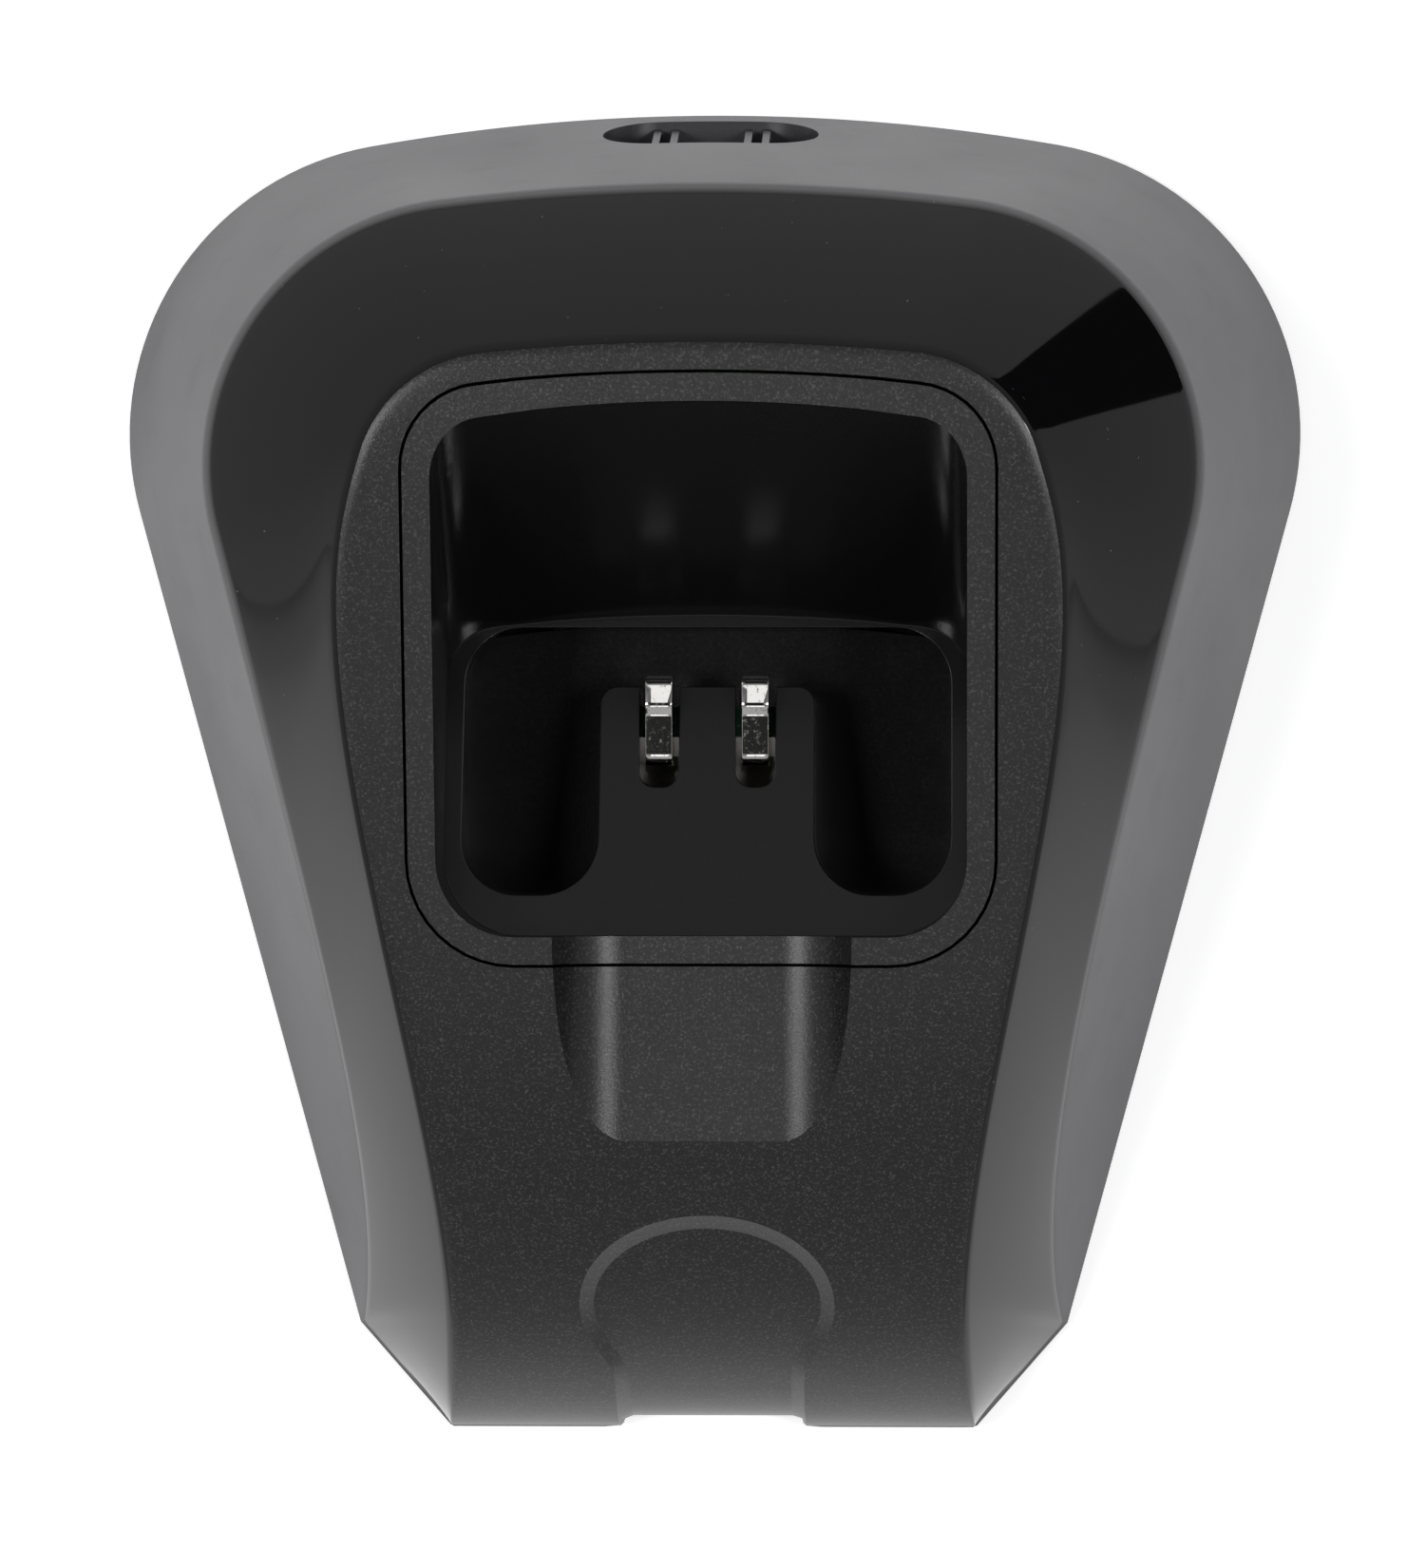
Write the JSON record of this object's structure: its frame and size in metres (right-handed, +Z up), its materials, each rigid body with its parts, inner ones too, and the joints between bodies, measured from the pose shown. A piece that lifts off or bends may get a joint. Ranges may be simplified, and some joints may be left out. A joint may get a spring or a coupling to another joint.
{
  "type": "cordless phone charging cradle",
  "caption": "Desktop charging cradle for a cordless phone: ramped dome housing with a deep handset pocket, sprung charging contacts, thumb scoop and rear cord port.",
  "frame": {"origin": "on the table, under the middle of the cradle's outline", "axes": "+Z up, +Y towards the rear port, +X to the right of a user facing the front edge"},
  "size_m": [0.1122, 0.1254, 0.048],
  "materials": {
    "housing_plastic": "black moulded plastic: satin skirt, polished shoulder, fine-textured ramp",
    "cup_plastic": "black moulded plastic with a fine texture",
    "cover_plastic": "black moulded plastic with a fine texture",
    "contact_metal": "bright nickel-plated spring strip",
    "carrier_plastic": "natural white nylon",
    "board_laminate": "green glass-fibre laminate with solder resist",
    "inlet_plastic": "black moulded socket",
    "capacitor_sleeve": "dark blue shrink sleeve",
    "part_black": "black epoxy body",
    "fuse_yellow": "ochre polymer body",
    "screw_steel": "zinc-plated steel",
    "foot_rubber": "black soft rubber",
    "label_film": "blank grey polyester film"
  },
  "bodies": {
    "cradle": {"upper_housing": "housing_plastic", "handset_cup": "cup_plastic", "base_cover": "cover_plastic", "contact_carrier": "carrier_plastic", "circuit_board": "board_laminate", "power_inlet": "inlet_plastic", "smoothing_capacitor": "capacitor_sleeve", "choke_coil": "part_black", "charge_regulator": "part_black", "resettable_fuse": "fuse_yellow", "chip_resistor_1": "part_black", "chip_resistor_2": "part_black", "chip_resistor_3": "part_black", "blocking_diode": "part_black", "cover_screw_rear_right": "screw_steel", "cover_screw_rear_left": "screw_steel", "cover_screw_front_right": "screw_steel", "cover_screw_front_left": "screw_steel", "cup_screw_right": "screw_steel", "cup_screw_left": "screw_steel", "board_screw_right": "screw_steel", "board_screw_left": "screw_steel", "foot_rear_right": "foot_rubber", "foot_rear_left": "foot_rubber", "foot_front_right": "foot_rubber", "foot_front_left": "foot_rubber", "rating_label": "label_film"},
    "contact_right_arm": {"contact_right": "contact_metal"},
    "contact_left_arm": {"contact_left": "contact_metal"}
  },
  "joints": [
    {"name": "contact_right_press", "type": "hinge", "parent": "cradle", "child": "contact_right_arm", "pos_m": [0.0045, 0.0006, 0.013], "axis": [-1, 0, 0], "range_deg": [0, 10], "stiffness_Nm_per_rad": 0.034},
    {"name": "contact_left_press", "type": "hinge", "parent": "cradle", "child": "contact_left_arm", "pos_m": [-0.0045, 0.0006, 0.013], "axis": [-1, 0, 0], "range_deg": [0, 10], "stiffness_Nm_per_rad": 0.034}
  ]
}
